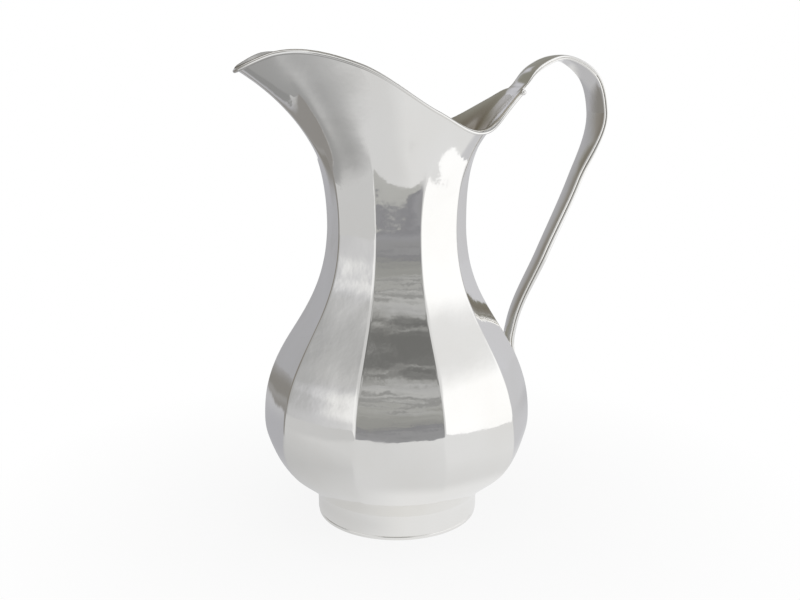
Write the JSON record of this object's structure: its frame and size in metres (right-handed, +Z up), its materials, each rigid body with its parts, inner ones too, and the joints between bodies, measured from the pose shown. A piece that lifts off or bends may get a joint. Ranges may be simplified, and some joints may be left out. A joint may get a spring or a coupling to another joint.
{
  "type": "water pitcher",
  "caption": "Open silver pitcher with a flat-panelled pear-shaped body, a long pouring lip, a wired rim, a foot ring and a high strap handle.",
  "frame": {"origin": "on the table, under the middle of the outline", "axes": "+Z up, the spout points to -X and the handle to +X; the plane Y = 0 is the plane of symmetry"},
  "size_m": [0.1958, 0.1396, 0.2387],
  "materials": {
    "body": "polished silver with fine wipe marks",
    "base": "satin silver",
    "foot": "polished silver",
    "rim": "bright polished silver",
    "handle_outer": "polished silver",
    "handle_inner": "polished silver"
  },
  "bodies": {
    "root": {"body_shell": "body", "base_plate": "base", "foot_ring": "foot", "foot_wire": "foot", "rim_wire": "rim", "rim_bead_near": "rim", "rim_bead_far": "rim", "handle_outer_strip": "handle_outer", "handle_inner_strip": "handle_inner"}
  },
  "joints": []
}
